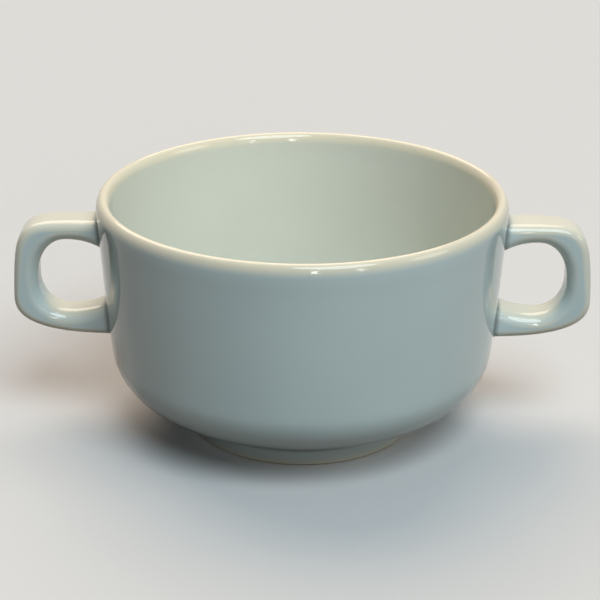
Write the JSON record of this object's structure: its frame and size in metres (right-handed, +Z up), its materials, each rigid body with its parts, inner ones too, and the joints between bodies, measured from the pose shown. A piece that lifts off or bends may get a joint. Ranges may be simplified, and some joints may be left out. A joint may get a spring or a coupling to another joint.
{
  "type": "bouillon cup",
  "caption": "Low round cup for clear soup, with a rounded lip, a wall that turns in to a foot ring, and squared loop handles on opposite sides.",
  "frame": {"origin": "centre of the foot ring, on the surface that the cup stands on", "axes": "+Z up along the axis of the cup, +X out through one handle and -X through the other"},
  "size_m": [0.149, 0.105, 0.063],
  "materials": {
    "glazed_porcelain": "glossy pale grey-blue glaze over white porcelain"
  },
  "bodies": {
    "root": {"cup": "glazed_porcelain"}
  },
  "joints": []
}
